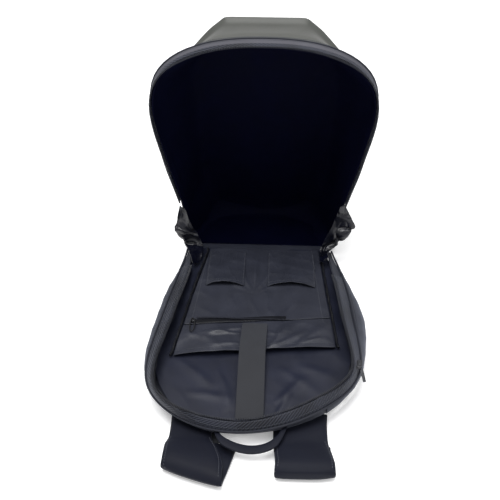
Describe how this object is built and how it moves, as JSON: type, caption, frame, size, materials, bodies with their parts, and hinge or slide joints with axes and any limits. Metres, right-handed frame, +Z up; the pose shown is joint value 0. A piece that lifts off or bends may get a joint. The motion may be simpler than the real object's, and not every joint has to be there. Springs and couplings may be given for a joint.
{
  "type": "motorcycle backpack",
  "caption": "Open hard-shell motorcycle backpack lying on its back: soft zippered tray with organiser, raised faceted shell, folded gussets, carry handle and shoulder straps.",
  "frame": {"origin": "middle of the lumbar pad's underside, on the floor", "axes": "+Z up, +Y from the top end of the bag to the hinge and the open lid, +X to the right as seen from the top end"},
  "size_m": [0.3594, 0.6539, 0.4534],
  "materials": {
    "nylon": "matt black nylon",
    "panel": "coarse charcoal weave",
    "satin": "satin navy-grey lining",
    "tape": "ribbed zipper tape",
    "shell": "matt charcoal, lightly grained",
    "band": "light grey woven band",
    "dark": "near-black lining",
    "strap": "smooth padded charcoal cloth",
    "webbing": "flat woven webbing",
    "metal": "dark grey metal"
  },
  "bodies": {
    "root": {"back_pad_lumbar": "panel", "back_pad_upper": "panel", "back_panel": "nylon", "binding_left": "satin", "binding_right": "satin", "carry_handle": "strap", "gusset_left": "nylon", "gusset_right": "nylon", "hinge_lining": "satin", "hinge_panel": "nylon", "lid_band": "band", "lid_lining": "dark", "lid_piping": "nylon", "lid_shell": "shell", "lid_zip_coil": "tape", "lid_zip_tape": "tape", "lining_floor": "satin", "lining_wall": "satin", "main_pull": "metal", "main_slider": "metal", "organiser_sleeve": "satin", "organiser_upper": "satin", "pocket_left": "satin", "pocket_right": "satin", "shoulder_strap_left": "strap", "shoulder_strap_right": "strap", "sleeve_strap": "webbing", "slit_coil": "tape", "slit_pull": "metal", "slit_slider": "metal", "slit_tape": "tape", "tray_piping": "nylon", "tray_side_left": "panel", "tray_side_right": "panel", "tray_wall": "nylon", "tray_zip_coil": "tape", "tray_zip_tape": "tape", "webbing_left": "webbing", "webbing_right": "webbing"}
  },
  "joints": []
}
